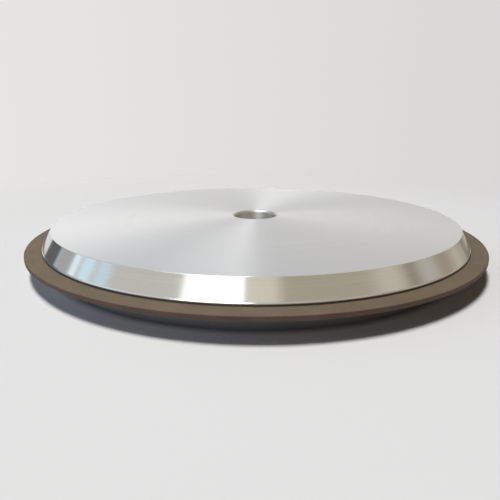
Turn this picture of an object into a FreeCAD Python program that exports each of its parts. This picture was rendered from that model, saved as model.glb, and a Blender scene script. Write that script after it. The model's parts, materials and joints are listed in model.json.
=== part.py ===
import FreeCAD
import Part
import Sketcher
import os
import math

# Diamond grinding wheel: a turned aluminium core that is the same on both sides, and a thin
# resin-bonded diamond rim moulded into a groove round its edge.
# Z is the bore axis. Z = 0 is the lower clamping face, where the wheel also rests.
# Every outline is drawn about the wheel's mid-plane, and each body is lifted by half the hub.

document = FreeCAD.newDocument("grinding_wheel")

# Driving dimensions, in millimetres.
sizes = {
    "wheel_diameter": 200.0,
    "hub_thickness": 16.6,
    "bore_diameter": 20.0,
    "bore_chamfer": 0.6,
    "face_diameter": 179.4,
    "face_edge_break": 0.1,
    "cone_foot_diameter": 186.4,
    "cone_foot_thickness": 3.8,
    "lip_diameter": 187.0,
    "lip_thickness": 3.2,
    "seat_diameter": 176.6,
    "coat_thickness": 0.1,
    "backing_diameter": 186.0,
    "rim_thickness": 1.6,
    "rim_edge_radius": 0.25,
    "bead_width": 0.25,
    "bead_height": 0.7,
    "cutter_overrun": 2.0,
}

sheet = document.addObject("Spreadsheet::Sheet", "Sizes")
for row, (name, value) in enumerate(sizes.items(), start=1):
    sheet.set(f"A{row}", name)
    sheet.set(f"B{row}", str(value))
    sheet.setAlias(f"B{row}", name)
document.recompute()


def new_body(label):
    """A body lifted so that its outline's mid-plane lies halfway up the hub."""
    body = document.addObject("PartDesign::Body", label)
    body.Label = label
    body.setExpression("Placement.Base.z", "Sizes.hub_thickness / 2")
    return body


def origin_plane(body, role):
    """One of the body's own origin planes."""
    return [plane for plane in body.Origin.OriginFeatures if plane.Role == role][0]


def outline(body, name, corners):
    """A closed outline in the XZ plane.

    Each corner is a radius and a height, as expressions in the sheet's sizes. The lines start
    out on a circle, and the two dimensions of each corner then carry it to its place.
    """
    sketch = body.newObject("Sketcher::SketchObject", name)
    sketch.AttachmentSupport = [(origin_plane(body, "XZ_Plane"), "")]
    sketch.MapMode = "FlatFace"
    count = len(corners)
    start_radius = sizes["wheel_diameter"] / 4
    starts = []
    for index in range(count):
        angle = math.tau * (index + 0.5) / count
        starts.append(
            FreeCAD.Vector(
                start_radius * (2 + math.cos(angle)), start_radius * math.sin(angle), 0
            )
        )
    for index in range(count):
        sketch.addGeometry(Part.LineSegment(starts[index], starts[(index + 1) % count]), False)
    for index in range(count):
        sketch.addConstraint(
            Sketcher.Constraint("Coincident", index, 2, (index + 1) % count, 1)
        )
    for index, (radius, height) in enumerate(corners):
        across = sketch.addConstraint(
            Sketcher.Constraint("DistanceX", -1, 1, index, 1, starts[index].x)
        )
        sketch.setExpression(f"Constraints[{across}]", radius)
        upward = sketch.addConstraint(
            Sketcher.Constraint("DistanceY", -1, 1, index, 1, starts[index].y)
        )
        sketch.setExpression(f"Constraints[{upward}]", height)
    return sketch


def turn(body, kind, name, sketch):
    """Turns the outline all the way round Z, to add material or to take it away."""
    feature = body.newObject(f"PartDesign::{kind}", name)
    feature.Profile = sketch
    feature.ReferenceAxis = (sketch, ["V_Axis"])
    feature.Angle = 360
    body.Tip = feature
    document.recompute()
    return feature


def rings(shape, radius):
    """Names of the shape's circular edges of this radius."""
    found = []
    for number, edge in enumerate(shape.Edges, start=1):
        is_circle = edge.Curve.TypeId == "Part::GeomCircle"
        if is_circle and abs(edge.Curve.Radius - radius) < 0.001:
            found.append(f"Edge{number}")
    return found


def soften(body, kind, name, base, radius, size_property, size):
    """A chamfer or a fillet on every circular edge of one radius."""
    feature = body.newObject(f"PartDesign::{kind}", name)
    feature.Base = (base, rings(base.Shape, radius))
    feature.setExpression(size_property, size)
    body.Tip = feature
    document.recompute()
    return feature


def mirrored(upper):
    """The upper corners, and the same corners below the mid-plane in the opposite order."""
    lower = [(radius, f"-({height})") for radius, height in reversed(upper)]
    return upper + lower


def core_disc():
    """Aluminium disc with two equal conical hubs, a chamfered bore and a groove for the rim."""
    body = new_body("core_disc")
    upper = [
        ("Sizes.bore_diameter / 2", "Sizes.hub_thickness / 2"),
        ("Sizes.face_diameter / 2", "Sizes.hub_thickness / 2"),
        ("Sizes.cone_foot_diameter / 2", "Sizes.cone_foot_thickness / 2"),
        ("Sizes.lip_diameter / 2", "Sizes.lip_thickness / 2"),
    ]
    blank = turn(body, "Revolution", "turned_blank", outline(body, "blank_outline", mirrored(upper)))
    half_groove = "Sizes.rim_thickness / 2 + Sizes.coat_thickness"
    groove_corners = [
        ("Sizes.seat_diameter / 2", half_groove),
        ("Sizes.lip_diameter / 2 + Sizes.cutter_overrun", half_groove),
    ]
    groove_outline = outline(body, "groove_outline", mirrored(groove_corners))
    groove = turn(body, "Groove", "rim_groove", groove_outline)
    if groove.Shape.Volume >= blank.Shape.Volume:
        raise ValueError("the groove took nothing away")
    bore_edges = soften(
        body, "Chamfer", "bore_chamfers", groove, sizes["bore_diameter"] / 2,
        "Size", "Sizes.bore_chamfer",
    )
    soften(
        body, "Chamfer", "face_edges", bore_edges, sizes["face_diameter"] / 2,
        "Size", "Sizes.face_edge_break",
    )
    return body


def rim_backing():
    """Plain resin ring with no diamond in it, moulded into the groove to carry the rim."""
    body = new_body("rim_backing")
    upper = [
        ("Sizes.seat_diameter / 2 + Sizes.coat_thickness", "Sizes.rim_thickness / 2"),
        ("Sizes.backing_diameter / 2", "Sizes.rim_thickness / 2"),
    ]
    turn(body, "Revolution", "backing_ring", outline(body, "backing_outline", mirrored(upper)))
    return body


def abrasive_rim():
    """Diamond and resin ring, flat on both sides, with lightly rounded outer edges."""
    body = new_body("abrasive_rim")
    upper = [
        ("Sizes.backing_diameter / 2", "Sizes.rim_thickness / 2"),
        ("Sizes.wheel_diameter / 2", "Sizes.rim_thickness / 2"),
    ]
    ring = turn(body, "Revolution", "rim_ring", outline(body, "rim_outline", mirrored(upper)))
    soften(
        body, "Fillet", "rim_edges", ring, sizes["wheel_diameter"] / 2,
        "Radius", "Sizes.rim_edge_radius",
    )
    return body


def bond_coat():
    """Bonding resin round the backing ring, ending in a small bead at each mouth of the groove."""
    body = new_body("bond_coat")
    rim_face = "Sizes.rim_thickness / 2"
    upper = [
        ("Sizes.seat_diameter / 2 + Sizes.coat_thickness", rim_face),
        ("Sizes.lip_diameter / 2 + Sizes.bead_width", rim_face),
        ("Sizes.lip_diameter / 2", f"{rim_face} + Sizes.bead_height"),
        ("Sizes.lip_diameter / 2", f"{rim_face} + Sizes.coat_thickness"),
        ("Sizes.seat_diameter / 2", f"{rim_face} + Sizes.coat_thickness"),
    ]
    turn(body, "Revolution", "coat_ring", outline(body, "coat_outline", mirrored(upper)))
    return body


bodies = [core_disc(), rim_backing(), abrasive_rim(), bond_coat()]
document.recompute()

for item in document.Objects:
    if "Invalid" in item.State or "Error" in item.State:
        raise ValueError(f"{item.Label} did not compute: {item.State}")
for body in bodies:
    if body.Shape.isNull() or not body.Shape.isValid() or len(body.Shape.Solids) != 1:
        raise ValueError(f"{body.Label} is not one valid solid")

os.makedirs("parts", exist_ok=True)
for body in bodies:
    body.Shape.exportStep(os.path.join("parts", f"{body.Label}.step"))
    box = body.Shape.BoundBox
    print(f"{body.Label}: {body.Shape.Volume:.1f} mm3, height {box.ZMin:.2f} to {box.ZMax:.2f}")
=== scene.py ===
import json
import math
import bpy
import numpy as np
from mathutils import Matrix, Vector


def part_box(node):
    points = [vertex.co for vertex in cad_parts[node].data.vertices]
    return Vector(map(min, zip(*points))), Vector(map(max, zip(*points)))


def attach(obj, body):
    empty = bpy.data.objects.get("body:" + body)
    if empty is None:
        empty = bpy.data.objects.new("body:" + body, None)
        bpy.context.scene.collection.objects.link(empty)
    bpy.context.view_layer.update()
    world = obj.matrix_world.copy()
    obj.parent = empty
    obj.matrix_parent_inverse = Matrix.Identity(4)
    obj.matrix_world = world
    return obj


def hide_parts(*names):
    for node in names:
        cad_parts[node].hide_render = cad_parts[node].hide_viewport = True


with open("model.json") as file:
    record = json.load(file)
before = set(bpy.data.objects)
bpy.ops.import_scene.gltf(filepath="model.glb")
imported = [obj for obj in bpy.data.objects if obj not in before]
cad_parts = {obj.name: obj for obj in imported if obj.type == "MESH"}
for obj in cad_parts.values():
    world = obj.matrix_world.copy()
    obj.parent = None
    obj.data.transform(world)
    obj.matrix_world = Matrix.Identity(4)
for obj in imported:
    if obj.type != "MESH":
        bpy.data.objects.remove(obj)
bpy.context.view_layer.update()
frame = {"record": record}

mm = 0.001


def linearColor(hexText, alpha=1.0):
    # sRGB hex to linear: c / 12.92 in the dark end, ((c + 0.055) / 1.055) ^ 2.4 above it
    channels = [int(hexText[i:i + 2], 16) / 255 for i in (1, 3, 5)]
    linear = [c / 12.92 if c <= 0.04045 else ((c + 0.055) / 1.055) ** 2.4 for c in channels]
    return (*linear, alpha)


def addNode(tree, kind, inputs=None, **settings):
    # one node, its settings, and its inputs: a socket is linked and anything else is a value
    node = tree.nodes.new("ShaderNode" + kind)
    for name, value in settings.items():
        setattr(node, name, value)
    for key, value in (inputs or {}).items():
        if isinstance(value, bpy.types.NodeSocket):
            tree.links.new(value, node.inputs[key])
        else:
            node.inputs[key].default_value = value
    return node


def newMaterial(name):
    # an empty material, and the tree to build it in
    material = bpy.data.materials.new(name)
    material.use_nodes = True
    material.node_tree.nodes.clear()
    return material, material.node_tree


def fillRamp(ramp, stops, interpolation="LINEAR"):
    # stops: position to colour; the first two reuse the ramp's own elements
    ramp.interpolation = interpolation
    for index, (position, color) in enumerate(sorted(stops.items())):
        element = ramp.elements[index] if index < 2 else ramp.elements.new(position)
        element.position = position
        element.color = color


def roundedOutline(corners, steps=5, supportShare=0.35):
    # corners: radius, height and corner radius, all in mm, going round a closed section.
    # Each corner becomes an arc that touches both its sides: from the corner the arc starts
    # at (corner radius x tan(half the turn)) along each side, and its points are spaced evenly
    # in angle. A support point stands just before and after each arc, so that the flats stay flat.
    places = np.array([c[:2] for c in corners], float)
    radii = np.array([c[2] for c in corners], float)
    pieces = []
    for i, corner in enumerate(places):
        toLast = places[i - 1] - corner
        toNext = places[(i + 1) % len(places)] - corner
        lastWay = toLast / np.linalg.norm(toLast)
        nextWay = toNext / np.linalg.norm(toNext)
        opening = math.acos(np.clip(lastWay @ nextWay, -1, 1))
        reach = radii[i] / math.tan(opening / 2)
        middle = lastWay + nextWay
        centre = corner + middle / np.linalg.norm(middle) * radii[i] / math.sin(opening / 2)
        start = corner + lastWay * reach
        end = corner + nextWay * reach
        share = np.linspace(0, 1, steps + 1)[:, None]
        turn = math.pi - opening
        toStart = start - centre
        toEnd = end - centre
        arc = centre + (np.sin((1 - share) * turn) * toStart + np.sin(share * turn) * toEnd) / math.sin(turn)
        support = supportShare * reach
        pieces += [(start + lastWay * support)[None], arc, (end + nextWay * support)[None]]
    return np.concatenate(pieces)


def revolvedPiece(name, outline, segments, materials, pickMaterial=None, radiusShift=None):
    # Surface of revolution: at turn a and outline place b the point is
    # (radius(b) sin a, -radius(b) cos a, height(b)); U runs with the turn and V with the
    # length along the outline. The outline is closed, so the surface is closed.
    turn = np.linspace(0, 2 * math.pi, segments, endpoint=False)[:, None]
    radius = outline[None, :, 0] * np.ones_like(turn)
    if radiusShift is not None:
        radius = radius + radiusShift(turn, outline[None, :, 0])
    height = outline[None, :, 1] * np.ones_like(turn)
    points = np.stack([radius * np.sin(turn), -radius * np.cos(turn), height], -1) * mm
    count = outline.shape[0]
    here = np.arange(segments)[:, None]
    along = np.arange(count)[None, :]
    nextHere = (here + 1) % segments
    nextAlong = (along + 1) % count
    quads = np.stack(
        [here * count + along, nextHere * count + along,
         nextHere * count + nextAlong, here * count + nextAlong], -1).reshape(-1, 4)
    mesh = bpy.data.meshes.new(name)
    mesh.from_pydata(points.reshape(-1, 3).tolist(), [], quads.tolist())
    step = np.linalg.norm(np.roll(outline, -1, 0) - outline, axis=1)
    length = np.concatenate([[0], np.cumsum(step)])
    length = length / length[-1]
    u0 = (here + 0 * along) / segments
    v0 = length[:-1][None, :] + 0 * here
    v1 = length[1:][None, :] + 0 * here
    u1 = u0 + 1 / segments
    uv = np.stack([np.stack([u0, v0], -1), np.stack([u1, v0], -1),
                   np.stack([u1, v1], -1), np.stack([u0, v1], -1)], -2)
    mesh.uv_layers.new(name="Turned").data.foreach_set("uv", uv.ravel())
    for material in materials:
        mesh.materials.append(material)
    if pickMaterial is not None:
        halfway = (outline + np.roll(outline, -1, 0)) / 2
        index = pickMaterial(halfway[:, 0], halfway[:, 1]).astype(np.int32)
        mesh.polygons.foreach_set("material_index", np.tile(index, segments))
    mesh.polygons.foreach_set("use_smooth", np.ones(len(quads), bool))
    mesh.update()
    piece = bpy.data.objects.new(name, mesh)
    bpy.context.scene.collection.objects.link(piece)
    return piece


# sizes from the frame, in mm
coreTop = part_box("core_disc")[1]
rimBottom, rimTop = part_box("abrasive_rim")
hubTop = coreTop.z / mm
midHeight = hubTop / 2
coreRadius = coreTop.x / mm
wheelRadius = rimTop.x / mm
rimHalf = (rimTop.z - rimBottom.z) / mm / 2
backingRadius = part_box("rim_backing")[1].x / mm
boreRadius = frame["record"]["mounts"][0]["dims"]["r_mm"]
print("frame: wheel radius", round(wheelRadius, 2), "hub", round(hubTop, 2), "bore", boreRadius)


# nearly all of a noise texture's values lie between these
noiseLow = 0.3
noiseHigh = 0.7


def radiusOnPiece(tree):
    # distance from the bore axis, in mm, from Object coordinates
    place = addNode(tree, "TexCoord").outputs["Object"]
    flat = addNode(tree, "VectorMath", {0: place, 1: (1 / mm, 1 / mm, 0)}, operation="MULTIPLY")
    return addNode(tree, "VectorMath", {0: flat.outputs[0]}, operation="LENGTH").outputs["Value"]


def turnedAluminium(name, look):
    # Aluminium cut on a lathe: a very smooth surface along the cut and a row of fine ridges across
    # it, so lights are drawn out across the ridges. Fine rings of a slightly different shine show
    # where the feed or the tool changed. The rings are drawn 0.25 to 0.35 mm apart, a few times the
    # real feed, because the feed itself is too fine to show.
    material, tree = newMaterial(name)
    radius = radiusOnPiece(tree)
    place = addNode(tree, "TexCoord").outputs["Object"]
    height = addNode(tree, "SeparateXYZ", {0: place}).outputs["Z"]
    across = addNode(tree, "Math", {0: height, 1: look["heightShare"] / mm, 2: radius},
                     operation="MULTIPLY_ADD").outputs[0]
    fine = addNode(tree, "TexNoise", {"W": across, "Scale": 1 / look["fineRing"], "Detail": 3.0},
                   noise_dimensions="1D").outputs["Fac"]
    broad = addNode(tree, "TexNoise", {"W": across, "Scale": 1 / look["broadRing"], "Detail": 2.0},
                    noise_dimensions="1D").outputs["Fac"]
    cloud = addNode(tree, "TexNoise", {"Vector": place, "Scale": 1 / (look["cloud"] * mm),
                                       "Detail": 4.0}).outputs["Fac"]
    rings = addNode(tree, "Mix", {"Factor": look["broadShare"], "A": fine, "B": broad}).outputs["Result"]
    mixed = addNode(tree, "Mix", {"Factor": look["cloudShare"], "A": rings, "B": cloud}).outputs["Result"]
    roughness = addNode(tree, "MapRange", {"Value": mixed, "From Min": noiseLow, "From Max": noiseHigh,
                                           "To Min": look["roughness"][0],
                                           "To Max": look["roughness"][1]}).outputs["Result"]
    color = addNode(tree, "ValToRGB", {"Fac": mixed})
    fillRamp(color.color_ramp, {noiseLow: linearColor(look["color"][0]),
                                noiseHigh: linearColor(look["color"][1])})
    bump = addNode(tree, "Bump", {"Height": fine, "Strength": look["bump"],
                                  "Distance": look["ridge"] * mm}).outputs["Normal"]
    tangent = addNode(tree, "Tangent", direction_type="UV_MAP", uv_map="Turned").outputs["Tangent"]
    shader = addNode(tree, "BsdfPrincipled", {
        "Base Color": color.outputs["Color"], "Metallic": 1.0, "Roughness": roughness,
        "Anisotropic": look["anisotropy"], "Anisotropic Rotation": 0.25,  # a quarter turn, across the cut
        "Normal": bump, "Tangent": tangent})
    addNode(tree, "OutputMaterial", {"Surface": shader.outputs[0]})
    return material


# Ring spacings, cloud sizes and ridge heights in mm. The faced look's roughness and anisotropy were
# tuned together with the lights for one view, so they aren't measured properties of the metal.
facedLook = {"fineRing": 0.35, "broadRing": 4.0, "cloud": 18.0, "cloudShare": 0.3, "heightShare": 0.0,
             "roughness": (0.200, 0.216), "color": ("#ebebeb", "#f2f2f2"), "bump": 0.1, "ridge": 0.003,
             "anisotropy": 0.95, "broadShare": 0.5}
bevelLook = {"fineRing": 0.25, "broadRing": 1.6, "cloud": 2.0, "cloudShare": 0.25, "heightShare": 1.0,
             "roughness": (0.13, 0.17), "color": ("#ecebe9", "#f3f2f0"), "bump": 0.1, "ridge": 0.002,
             "anisotropy": 0.95, "broadShare": 0.5}
boreLook = {"fineRing": 0.3, "broadRing": 2.0, "cloud": 3.0, "cloudShare": 0.2, "heightShare": 1.0,
            "roughness": (0.38, 0.45), "color": ("#e3e2dc", "#edece7"), "bump": 0.3, "ridge": 0.01,
            "anisotropy": 0.9, "broadShare": 0.5}


# grit, blotch and line sizes, edge band and relief in mm; the edge colours are partly the edge's own tone
# and partly painted shade
gritLook = {
    "grit": 0.35, "gritFrom": 0.05, "gritTo": 0.4, "blotch": 9.0, "lines": 0.5, "linesShare": 0.5,
    "blotchShare": 0.55, "face": ("#675a48", "#7c6d57"), "edge": ("#5c483d", "#735c4e"),
    "edgeBand": (0.15, 0.03), "roughness": 0.72, "specular": 0.35, "bump": 0.35, "relief": 0.05,
}


def diamondResin(look):
    # Phenolic resin filled with mineral and diamond grit, pressed hot and then trued flat: a dull brown,
    # paler on the trued faces and darker and redder at the outer edge, partly the edge's own tone and
    # partly painted shade. The grit is drawn at 0.35 mm, coarser than the real grain, so that it shows.
    material, tree = newMaterial("resin bonded diamond")
    place = addNode(tree, "TexCoord").outputs["Object"]
    radius = radiusOnPiece(tree)
    grit = addNode(tree, "TexVoronoi", {"Vector": place, "Scale": 1 / (look["grit"] * mm)})
    specks = addNode(tree, "MapRange", {"Value": grit.outputs["Distance"], "From Min": look["gritFrom"],
                                        "From Max": look["gritTo"], "To Min": 1.0,
                                        "To Max": 0.0}).outputs["Result"]
    blotch = addNode(tree, "TexNoise", {"Vector": place, "Scale": 1 / (look["blotch"] * mm),
                                        "Detail": 5.0}).outputs["Fac"]
    lines = addNode(tree, "TexNoise", {"W": radius, "Scale": 1 / look["lines"], "Detail": 3.0},
                    noise_dimensions="1D").outputs["Fac"]
    grain = addNode(tree, "Mix", {"Factor": look["linesShare"], "A": specks, "B": lines}).outputs["Result"]
    tone = addNode(tree, "Mix", {"Factor": look["blotchShare"], "A": grain, "B": blotch}).outputs["Result"]
    face = addNode(tree, "ValToRGB", {"Fac": tone})
    fillRamp(face.color_ramp, {noiseLow: linearColor(look["face"][0]),
                               noiseHigh: linearColor(look["face"][1])})
    # painted shade: the outer edge's colours are darker than the faces', partly the edge's own tone and
    # partly shade of the side
    edge = addNode(tree, "ValToRGB", {"Fac": tone})
    fillRamp(edge.color_ramp, {noiseLow: linearColor(look["edge"][0]),
                               noiseHigh: linearColor(look["edge"][1])})
    isEdge = addNode(tree, "MapRange", {"Value": radius, "From Min": wheelRadius - look["edgeBand"][0],
                                        "From Max": wheelRadius - look["edgeBand"][1]}).outputs["Result"]
    color = addNode(tree, "Mix", {"Factor": isEdge, "A": face.outputs[0], "B": edge.outputs[0]},
                    data_type="RGBA")
    bump = addNode(tree, "Bump", {"Height": grain, "Strength": look["bump"],
                                  "Distance": look["relief"] * mm})
    shader = addNode(tree, "BsdfPrincipled", {
        "Base Color": color.outputs[2], "Roughness": look["roughness"],
        "Specular IOR Level": look["specular"], "Normal": bump.outputs[0]})
    addNode(tree, "OutputMaterial", {"Surface": shader.outputs[0]})
    return material


def darkResin(name, look):
    # Cured phenolic resin with no grit: near black brown, with the low sheen of a moulded edge.
    # Slow flow marks shift its tone a little.
    material, tree = newMaterial(name)
    place = addNode(tree, "TexCoord").outputs["Object"]
    flow = addNode(tree, "TexNoise", {"Vector": place, "Scale": 1 / (look["flow"] * mm),
                                      "Detail": 4.0}).outputs["Fac"]
    color = addNode(tree, "ValToRGB", {"Fac": flow})
    fillRamp(color.color_ramp, {look["tones"][0]: linearColor(look["color"][0]),
                                look["tones"][1]: linearColor(look["color"][1])})
    bump = addNode(tree, "Bump", {"Height": flow, "Strength": look["bump"],
                                  "Distance": look["relief"] * mm})
    shader = addNode(tree, "BsdfPrincipled", {"Base Color": color.outputs[0],
                                              "Roughness": look["roughness"],
                                              "Normal": bump.outputs[0]})
    addNode(tree, "OutputMaterial", {"Surface": shader.outputs[0]})
    return material


# flow marks and relief in mm
backingLook = {"flow": 3.0, "roughness": 0.6, "color": ("#3d2a21", "#4a3428"), "tones": (0.35, 0.65),
               "bump": 0.3, "relief": 0.05}
bondLook = {"flow": 1.5, "roughness": 0.45, "color": ("#1c1410", "#2b201a"), "tones": (0.35, 0.65),
            "bump": 0.3, "relief": 0.05}

# radii, half thicknesses and edge roundings in mm, measured from the wheel's mid-plane
coreShape = {
    "boreChamfer": 0.6, "faceRadius": 89.7, "coneFootRadius": 93.2, "coneFootHalf": 1.9,
    "lipHalf": 1.6, "seatRadius": 88.3, "coat": 0.1, "segments": 880,
    "faceEdge": 0.12, "boreEdge": 0.8, "lipEdge": 0.08, "footHollow": 0.06, "grooveEdge": 0.03,
    "facedFrom": 0.3, "facedWithin": 0.02, "bevelMargin": 0.2,
}


def coreOutline(shape):
    # the upper half from the bore to the groove, mirrored for the lower half
    chamfer = shape["boreChamfer"]
    upper = [
        (boreRadius, hubTop / 2 - chamfer, shape["boreEdge"]),
        (boreRadius + chamfer, hubTop / 2, shape["boreEdge"]),
        (shape["faceRadius"], hubTop / 2, shape["faceEdge"]),
        (shape["coneFootRadius"], shape["coneFootHalf"], shape["footHollow"]),
        (coreRadius, shape["lipHalf"], shape["lipEdge"]),
        (coreRadius, rimHalf + shape["coat"], shape["grooveEdge"]),
        (shape["seatRadius"], rimHalf + shape["coat"], shape["grooveEdge"]),
    ]
    lower = [(radius, -height, rounding) for radius, height, rounding in upper]
    # up the outside and down the bore, so that the faces point outwards
    outline = roundedOutline(lower + upper[::-1])
    outline[:, 1] += midHeight
    return outline


def coreMaterialIndex(radius, height):
    # 0 on the two faced sides, 1 on everything outside them, and 2 in the bore
    faced = np.abs(height - midHeight) > hubTop / 2 - coreShape["facedWithin"]
    isFace = faced & (radius > boreRadius + coreShape["facedFrom"])
    isBevel = (radius > coreShape["faceRadius"] - coreShape["bevelMargin"]) & ~isFace
    return np.where(isFace, 0, np.where(isBevel, 1, 2))


core = revolvedPiece("turned_core", coreOutline(coreShape), coreShape["segments"],
                     [turnedAluminium("aluminium faced on a lathe", facedLook),
                      turnedAluminium("aluminium bevel turned bright", bevelLook),
                      turnedAluminium("aluminium bored and deburred", boreLook)],
                     coreMaterialIndex)
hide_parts("core_disc")
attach(core, "root")
print("core made")

# the groove and the resin in it, in mm; a bead wave is its count, divisor and phase
grooveShape = {
    "seatRadius": 88.3, "coat": 0.1, "edge": 0.03, "segments": 720,
    "beadWidth": 0.25, "beadHeight": 0.7, "beadHollow": 0.35, "hollowRound": 0.1,
    "resinRound": 0.02, "mouthRound": 0.01, "cornerSteps": 3,
    "wander": 0.04, "wanderFrom": 0.05, "waves": ((37, 2, 0), (91, 3, 1), (203, 6, 2)),
}
rimShape = {"outerEdge": 0.25, "segments": 900}
resinInner = grooveShape["seatRadius"] + grooveShape["coat"]


def squareRing(inner, outer, outerEdge):
    # a ring as thick as the rim, with lightly rounded corners
    edge = grooveShape["edge"]
    outline = roundedOutline([(outer, -rimHalf, outerEdge), (outer, rimHalf, outerEdge),
                              (inner, rimHalf, edge), (inner, -rimHalf, edge)])
    outline[:, 1] += midHeight
    return outline


rim = revolvedPiece("diamond_rim", squareRing(backingRadius, wheelRadius, rimShape["outerEdge"]),
                    rimShape["segments"], [diamondResin(gritLook)])
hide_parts("abrasive_rim")
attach(rim, "root")

backing = revolvedPiece("backing_ring", squareRing(resinInner, backingRadius, grooveShape["edge"]),
                        grooveShape["segments"],
                        [darkResin("plain moulded resin", backingLook)])
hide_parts("rim_backing")
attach(backing, "root")


def bondOutline(shape):
    # the coat's upper half: along the groove's wall, out of its mouth, and down the hollow bead
    mouth = coreRadius
    hollow = shape["beadHollow"]
    corner = shape["resinRound"]
    upper = [
        (shape["seatRadius"], rimHalf + shape["coat"], corner),
        (mouth, rimHalf + shape["coat"], shape["mouthRound"]),
        (mouth, rimHalf + shape["beadHeight"], corner),
        (mouth + shape["beadWidth"] * hollow, rimHalf + shape["beadHeight"] * hollow, shape["hollowRound"]),
        (mouth + shape["beadWidth"], rimHalf, corner),
        (resinInner, rimHalf, corner),
    ]
    lower = [(radius, -height, rounding) for radius, height, rounding in reversed(upper)]
    outline = roundedOutline(lower + upper, shape["cornerSteps"])
    outline[:, 1] += midHeight
    return outline


def beadWander(turn, radius):
    # the squeezed-out bead is a little uneven: wander x the sum of sin(count x turn + phase) / divisor,
    # only where the section stands outside the groove's mouth
    wave = sum(np.sin(count * turn + phase) / divisor for count, divisor, phase in grooveShape["waves"])
    return grooveShape["wander"] * wave * (radius > coreRadius + grooveShape["wanderFrom"])


bond = revolvedPiece("bond_line", bondOutline(grooveShape), grooveShape["segments"],
                     [darkResin("cured bonding resin", bondLook)],
                     radiusShift=beadWander)
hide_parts("bond_coat")
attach(bond, "root")
print("rim, backing and bond made")

# The room that the metal mirrors. Bearings are in degrees: 0 is behind the camera, 90 to the
# right, 180 beyond the wheel and -90 to the left. Heights are degrees above or below the horizon.
# The panels, the card and the lamps that only metal sees were tuned for one view and aren't one
# consistent set of lights. The panels' names are only labels for bands of tone.
room = {
    "gain": 1.1, "softEdge": 0.8, "softTop": 3, "turnOver": 0.5,
    "ceilingLeft": "#89909a", "ceilingRight": "#c3c3c1",
    "panels": {
        "far wall": {"bearing": (-190, 190), "top": 18, "color": "#d4d4d3"},
        "right wall": {"bearing": (6.5, 151), "top": 62, "color": "#a39c8c", "softEdge": 4},
        "wall beside the window": {"bearing": (-6.5, 13.5), "top": 62, "color": "#cbc5b7", "softEdge": 4},
        "cupboard": {"bearing": (64.5, 80), "top": 62, "color": "#b9b4a6", "softEdge": 5},
        "door frame": {"bearing": (82, 88.5), "top": 62, "color": "#8c8378", "softEdge": 2},
        "shelf": {"bearing": (91.5, 100.5), "top": 62, "color": "#ada9a3", "softEdge": 3},
        "bookcase": {"bearing": (104, 112), "top": 62, "color": "#978c80", "softEdge": 3},
        "pillar": {"bearing": (117, 124), "top": 62, "color": "#aea99f", "softEdge": 3},
        "curtain": {"bearing": (131, 138), "top": 62, "color": "#878079", "softEdge": 1.5},
        "left wall": {"bearing": (-120.5, -39.5), "top": 62, "color": "#bdbbb4"},
        "doorway": {"bearing": (-132.5, -117.5), "top": 62, "color": "#5a5c5e"},
        "door edge": {"bearing": (-117.5, -115.5), "top": 62, "color": "#a4b4c6"},
        "shaded corner": {"bearing": (-115.5, -104.5), "top": 62, "color": "#a2a3a2"},
        "near pane": {"bearing": (-104, -99.5), "top": 62, "color": "#e0f9ff"},
        "middle pane": {"bearing": (-97, -89.5), "top": 62, "color": "#cbe6f3"},
        "far pane": {"bearing": (-86.5, -79), "top": 62, "color": "#c3d8e6", "softEdge": 2},
        "upper panes": {"bearing": (-102.5, -62.5), "bottom": 60, "top": 76, "color": "#dcebfa",
                        "softEdge": 3},
        "main window": {"bearing": (-39, -5.5), "top": 62, "color": "#ffffff", "gain": 1.15},
    },
}
fill = {"left": "#cbdbf8", "middle": "#302a25", "right": "#524b43", "middleShare": 0.36}
backdrop = {"left": "#e7e6e4", "right": "#dad7d6", "turnOver": 0.5}
# places and sizes in metres; "metal" lamps are seen only in metal, the other one lights the rest
lamps = {
    "overhead": {"size": (0.4, 0.9), "place": (-0.4, -0.36, 3.0), "power": 76.0, "metal": False},
    "overhead_strip": {"size": (0.23, 1.2), "place": (-0.14, 0.0, 1.5), "power": 4.2, "metal": True},
    "overhead_wide": {"size": (0.70, 1.5), "place": (-0.44, 0.0, 1.5), "power": 9.9, "metal": True},
}


def bearingOf(tree, way):
    # angle round the table, in radians from -pi to pi: 0 toward -Y, positive toward +X
    parts = addNode(tree, "SeparateXYZ", {0: way}).outputs
    back = addNode(tree, "Math", {0: parts["Y"], 1: -1.0}, operation="MULTIPLY").outputs[0]
    return addNode(tree, "Math", {0: parts["X"], 1: back}, operation="ARCTAN2").outputs[0]


def between(tree, value, low, high, soft):
    # 1 from low to high and 0 outside, with soft edges
    rising = addNode(tree, "MapRange", {"Value": value, "From Min": low - soft, "From Max": low + soft})
    falling = addNode(tree, "MapRange", {"Value": value, "From Min": high - soft,
                                         "From Max": high + soft, "To Min": 1.0, "To Max": 0.0})
    return addNode(tree, "Math", {0: rising.outputs[0], 1: falling.outputs[0]},
                   operation="MULTIPLY").outputs[0]


def secondHand(tree):
    # 1 for light that a matt face would pick up by way of the metal, which the studio leaves dim
    ray = addNode(tree, "LightPath").outputs
    return addNode(tree, "Math", {0: ray["Is Glossy Ray"], 1: ray["Diffuse Depth"]},
                   operation="MULTIPLY", use_clamp=True).outputs[0]


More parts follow.
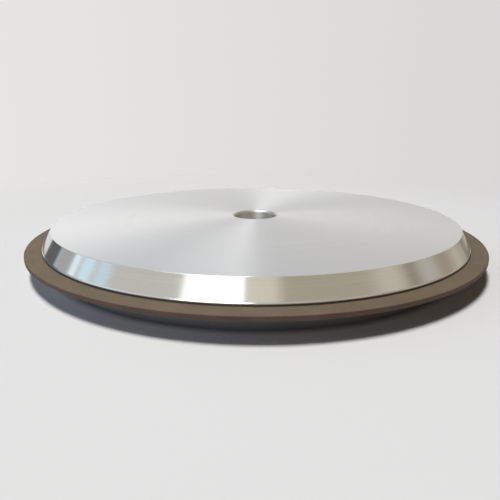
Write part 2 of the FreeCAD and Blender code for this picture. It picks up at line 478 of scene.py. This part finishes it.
def roomColor(tree, way):
    # the ceiling, then each panel laid over what is there already
    bearing = bearingOf(tree, way)
    parts = addNode(tree, "SeparateXYZ", {0: way}).outputs
    lift = addNode(tree, "Math", {0: parts["Z"]}, operation="ABSOLUTE").outputs[0]
    rise = addNode(tree, "Math", {0: lift}, operation="ARCSINE").outputs[0]
    side = addNode(tree, "MapRange", {"Value": parts["X"], "From Min": -room["turnOver"],
                                      "From Max": room["turnOver"]})
    color = addNode(tree, "Mix", {"Factor": side.outputs[0], "A": linearColor(room["ceilingLeft"]),
                                  "B": linearColor(room["ceilingRight"])}, data_type="RGBA").outputs[2]
    for panel in room["panels"].values():
        soft = math.radians(panel.get("softEdge", room["softEdge"]))
        start, end = (math.radians(angle) for angle in panel["bearing"])
        bottom, top = (math.radians(panel.get(key, -90)) for key in ("bottom", "top"))
        inBearing = between(tree, bearing, start, end, soft)
        inRise = between(tree, rise, bottom, top, math.radians(room["softTop"]))
        share = addNode(tree, "Math", {0: inBearing, 1: inRise}, operation="MULTIPLY").outputs[0]
        gain = panel.get("gain", 1.0)
        panelColor = tuple(gain * channel for channel in linearColor(panel["color"]))
        color = addNode(tree, "Mix", {"Factor": share, "A": color, "B": panelColor},
                        data_type="RGBA").outputs[2]
    return color


def studioWorld():
    # the camera sees a plain backdrop, metal mirrors the room, and everything else gets soft fill
    world = bpy.data.worlds.new("studio")
    world.use_nodes = True
    tree = world.node_tree
    tree.nodes.clear()
    way = addNode(tree, "TexCoord").outputs["Generated"]
    across = addNode(tree, "SeparateXYZ", {0: way}).outputs["X"]
    share = addNode(tree, "MapRange", {"Value": across, "From Min": -1.0, "From Max": 1.0}).outputs[0]
    fillColor = addNode(tree, "ValToRGB", {"Fac": share})
    fillRamp(fillColor.color_ramp, {0.0: linearColor(fill["left"]),
                                    fill["middleShare"]: linearColor(fill["middle"]),
                                    1.0: linearColor(fill["right"])})
    side = addNode(tree, "MapRange", {"Value": across, "From Min": -backdrop["turnOver"],
                                      "From Max": backdrop["turnOver"]}).outputs[0]
    backColor = addNode(tree, "Mix", {"Factor": side, "A": linearColor(backdrop["left"]),
                                      "B": linearColor(backdrop["right"])}, data_type="RGBA")
    soft = addNode(tree, "Background", {"Color": fillColor.outputs[0], "Strength": 1.0})
    mirrored = addNode(tree, "Background", {"Color": roomColor(tree, way), "Strength": room["gain"]})
    seen = addNode(tree, "Background", {"Color": backColor.outputs[2], "Strength": 1.0})
    ray = addNode(tree, "LightPath").outputs
    inMetal = addNode(tree, "Math", {0: ray["Is Glossy Ray"], 1: secondHand(tree)},
                      operation="SUBTRACT").outputs[0]
    lit = addNode(tree, "MixShader", {0: inMetal, 1: soft.outputs[0], 2: mirrored.outputs[0]})
    mixed = addNode(tree, "MixShader", {0: ray["Is Camera Ray"], 1: lit.outputs[0], 2: seen.outputs[0]})
    addNode(tree, "OutputWorld", {"Surface": mixed.outputs[0]})
    bpy.context.scene.world = world


def addLamp(name, look, side):
    # side is 1 for a lamp above the wheel and -1 for its twin below, which lights the underside
    lamp = bpy.data.lights.new(name, "AREA")
    lamp.shape = "RECTANGLE"
    lamp.size, lamp.size_y = look["size"]
    lamp.energy = look["power"]
    holder = bpy.data.objects.new(name, lamp)
    across, along, height = look["place"]
    holder.location = (across, along, side * height)
    if side < 0:
        holder.rotation_euler = (math.pi, 0, 0)
    holder.visible_camera = False
    holder.visible_glossy = look["metal"]
    holder.visible_diffuse = not look["metal"]
    bpy.context.scene.collection.objects.link(holder)


def flatMesh(name, points, quads, material):
    # a part of the studio, from points in metres
    mesh = bpy.data.meshes.new(name)
    mesh.from_pydata(points.tolist(), [], quads.tolist())
    mesh.materials.append(material)
    piece = bpy.data.objects.new(name, mesh)
    bpy.context.scene.collection.objects.link(piece)
    return piece


# in mm
cardShape = {"behind": 158, "halfWidth": 250.0, "height": 120, "softEdge": 51,
             "left": "#f1f1f1", "right": "#d4d2cf", "turnOver": 150.0}


def reflectorCard():
    # a white card standing close behind the wheel, which only the metal's reflections show
    material, tree = newMaterial("white reflector card")
    place = addNode(tree, "TexCoord").outputs["Object"]
    parts = addNode(tree, "SeparateXYZ", {0: place}).outputs
    turnOver = cardShape["turnOver"] * mm
    side = addNode(tree, "MapRange", {"Value": parts["X"], "From Min": -turnOver, "From Max": turnOver})
    color = addNode(tree, "Mix", {"Factor": side.outputs[0], "A": linearColor(cardShape["left"]),
                                  "B": linearColor(cardShape["right"])}, data_type="RGBA")
    top = cardShape["height"] * mm
    soft = cardShape["softEdge"] * mm
    edge = addNode(tree, "MapRange", {"Value": parts["Z"], "From Min": top - soft, "From Max": top + soft})
    glow = addNode(tree, "Emission", {"Color": color.outputs[2], "Strength": 1.0})
    clear = addNode(tree, "BsdfTransparent")
    mixed = addNode(tree, "MixShader", {0: edge.outputs[0], 1: glow.outputs[0], 2: clear.outputs[0]})
    addNode(tree, "OutputMaterial", {"Surface": mixed.outputs[0]})
    material.cycles.emission_sampling = "NONE"
    x, y, z = cardShape["halfWidth"] * mm, cardShape["behind"] * mm, top + soft
    points = np.array([(-x, y, 0), (x, y, 0), (x, y, z), (-x, y, z)])
    card = flatMesh("reflector_card", points, np.array([[0, 1, 2, 3]]), material)
    card.visible_camera = False
    card.visible_diffuse = False
    card.visible_shadow = False


# in mm; the paper starts just inside the hub's edge, so that it isn't in the way below. Near the hub the
# paper's colour holds a painted contact shadow.
floorShape = {"wellRadius": 89.5, "fadeFrom": 130.0, "fadeTo": 420.0, "outerRadius": 450.0,
              "drop": 0.02, "boreDisc": 10.75, "paper": "#ebeae7", "mirrorFrom": (125.0, 145.0),
              "contact": "#848280", "contactWidth": 3.2, "segments": 128, "pinhole": 0.001}


def studioFloor():
    # pale paper, darker where it meets the hub, which is a painted contact shadow; far from the wheel it
    # fades into the backdrop, and its reflection in the metal gives way to the room
    material, tree = newMaterial("pale paper table")
    radius = radiusOnPiece(tree)
    hubEdge = coreShape["faceRadius"]
    # painted contact shadow: the paper's colour runs from the shade tone at the hub's edge to plain paper
    lit = addNode(tree, "MapRange", {"Value": radius, "From Min": hubEdge,
                                      "From Max": hubEdge + floorShape["contactWidth"]}).outputs[0]
    paper = addNode(tree, "Mix", {"Factor": lit, "A": linearColor(floorShape["contact"]),
                                  "B": linearColor(floorShape["paper"])}, data_type="RGBA").outputs[2]
    white = addNode(tree, "BsdfDiffuse", {"Color": paper})
    clear = addNode(tree, "BsdfTransparent")
    glossy = addNode(tree, "LightPath").outputs["Is Glossy Ray"]
    far = addNode(tree, "MapRange", {"Value": radius, "From Min": floorShape["mirrorFrom"][0],
                                     "From Max": floorShape["mirrorFrom"][1]}).outputs[0]
    mirrored = addNode(tree, "Math", {0: far, 1: glossy}, operation="MULTIPLY").outputs[0]
    fade = addNode(tree, "MapRange", {"Value": radius, "From Min": floorShape["fadeFrom"],
                                      "From Max": floorShape["fadeTo"]},
                   interpolation_type="SMOOTHSTEP").outputs[0]
    fromBelow = addNode(tree, "NewGeometry").outputs["Backfacing"]
    gone = addNode(tree, "Math", {0: fade, 1: fromBelow}, operation="MAXIMUM").outputs[0]
    gone = addNode(tree, "Math", {0: gone, 1: mirrored}, operation="MAXIMUM").outputs[0]
    gone = addNode(tree, "Math", {0: gone, 1: secondHand(tree)}, operation="MAXIMUM").outputs[0]
    mixed = addNode(tree, "MixShader", {0: gone, 1: white.outputs[0], 2: clear.outputs[0]})
    addNode(tree, "OutputMaterial", {"Surface": mixed.outputs[0]})
    # flat rings of quads: (radius x sin(turn), -radius x cos(turn), just under zero)
    count = floorShape["segments"]
    turn = np.linspace(0, 2 * math.pi, count, endpoint=False)
    ring = np.stack([np.sin(turn), -np.cos(turn)], -1)
    here = np.arange(count)
    nextHere = (here + 1) % count
    quads = np.stack([here, here + count, nextHere + count, nextHere], -1)
    for name, inner, outer in (("table_top", floorShape["wellRadius"], floorShape["outerRadius"]),
                               ("table_under_bore", floorShape["pinhole"], floorShape["boreDisc"])):
        flat = np.concatenate([ring * inner, ring * outer]) * mm
        points = np.column_stack([flat, np.full(len(flat), -floorShape["drop"] * mm)])
        flatMesh(name, points, quads, material)


# distance and height in wheel radii, angles in degrees, lens and sensor in mm
cameraView = {"distance": 2.0787, "height": 0.5795, "tiltDown": 15.84, "turnLeft": 0.676,
              "lens": 31.91, "sensor": 36, "clipStart": 10}


def addCamera():
    camera = bpy.data.cameras.new("camera")
    camera.sensor_width = cameraView["sensor"]
    camera.lens = cameraView["lens"]
    camera.clip_start = cameraView["clipStart"] * mm
    holder = bpy.data.objects.new("camera", camera)
    holder.location = (0, -cameraView["distance"] * wheelRadius * mm,
                       cameraView["height"] * wheelRadius * mm)
    holder.rotation_euler = (math.radians(90 - cameraView["tiltDown"]), 0,
                             math.radians(cameraView["turnLeft"]))
    bpy.context.scene.collection.objects.link(holder)
    bpy.context.scene.camera = holder


studioWorld()
for lampName, lampLook in lamps.items():
    addLamp(lampName, lampLook, 1)
    addLamp(lampName + "_below", lampLook, -1)
studioFloor()
reflectorCard()
addCamera()
bpy.context.scene.view_settings.view_transform = "Standard"
print("studio made")
